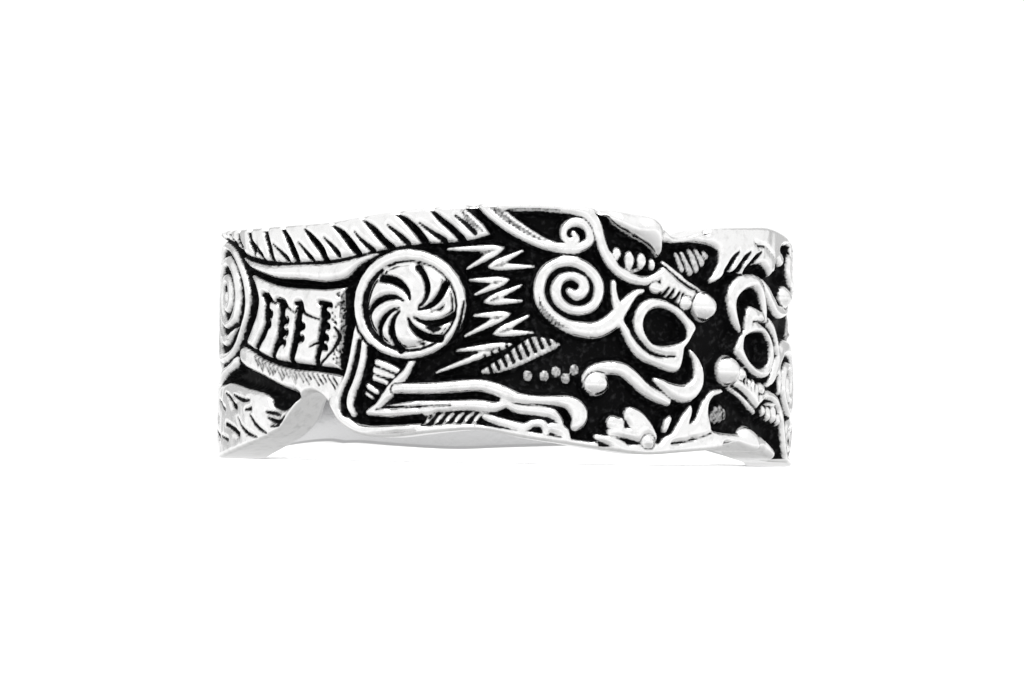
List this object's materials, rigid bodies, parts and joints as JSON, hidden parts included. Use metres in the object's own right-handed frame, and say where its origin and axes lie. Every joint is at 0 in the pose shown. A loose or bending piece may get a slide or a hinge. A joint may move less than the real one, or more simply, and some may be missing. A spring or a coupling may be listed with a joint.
{
  "type": "band ring",
  "caption": "Wide cast metal finger ring with a wavy-edged band and raised relief of beasts, whirls and spirals on a dark ground.",
  "frame": {"origin": "on the finger hole's axis, at the level of the band's lowest points, on which it rests", "axes": "+Z along the finger hole, -Y out of the side with the crest and the shoulder whirl; the noses meet halfway between -Y and +X"},
  "size_m": [0.0222, 0.0222, 0.0095],
  "materials": {
    "oxidised_silver": "polished cast silver on the raised figures, with black oxide left in the hollows between them"
  },
  "bodies": {
    "root": {"band_ring": "oxidised_silver"}
  },
  "joints": []
}
